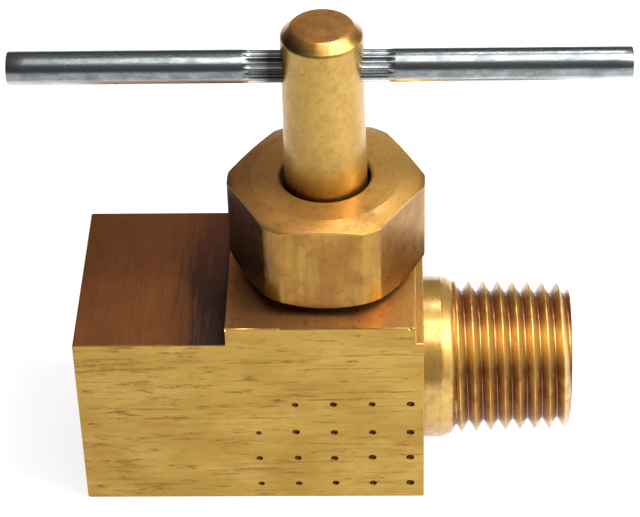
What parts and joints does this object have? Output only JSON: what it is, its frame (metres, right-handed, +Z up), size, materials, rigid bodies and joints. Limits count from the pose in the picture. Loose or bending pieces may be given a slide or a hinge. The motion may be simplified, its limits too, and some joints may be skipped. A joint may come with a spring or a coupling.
{
  "type": "needle valve",
  "caption": "Straight brass needle valve with a female pipe port, a male tapered pipe end, a hexagonal packing nut and a steel T-bar on a crowned stem.",
  "frame": {"origin": "on the stem's axis, in the plane of the base: the bottom centre of the bounding box", "axes": "+X points out of the male pipe end, +Z runs up the stem, and the T-bar lies along X when the valve is closed"},
  "size_m": [0.053, 0.019, 0.0454],
  "materials": {
    "body_brass": "drawn and milled brass bar, satin, with brown streaks",
    "nut_brass": "bright machined brass",
    "stem_brass": "satin turned brass",
    "gland_brass": "turned brass",
    "handle_steel": "bright zinc-plated steel rod",
    "needle_steel": "ground stainless steel",
    "ball_steel": "polished bearing steel",
    "packing_ptfe": "white PTFE"
  },
  "bodies": {
    "valve": {"valve_body": "body_brass", "packing_nut": "nut_brass", "packing_washer": "gland_brass", "packing_bottom_adapter": "packing_ptfe", "packing_v_ring_1": "packing_ptfe", "packing_v_ring_2": "packing_ptfe", "packing_v_ring_3": "packing_ptfe", "packing_top_adapter": "packing_ptfe", "gland_follower": "gland_brass"},
    "needle": {"needle_tip": "needle_steel"},
    "stem": {"valve_stem": "stem_brass", "thrust_ball": "ball_steel", "t_bar_handle": "handle_steel"}
  },
  "joints": [
    {"name": "needle_lift", "type": "slide", "parent": "valve", "child": "needle", "axis": [0, 0, 1], "range_m": [0, 0.00292]},
    {"name": "stem_turn", "type": "hinge", "parent": "needle", "child": "stem", "pos_m": [0, 0, 0.0412], "axis": [0, 0, 1], "range_deg": [0, 990]}
  ],
  "couplings": [
    {"joint": "needle_lift", "follows": "stem_turn", "m_per_rad": 0.00016844}
  ]
}
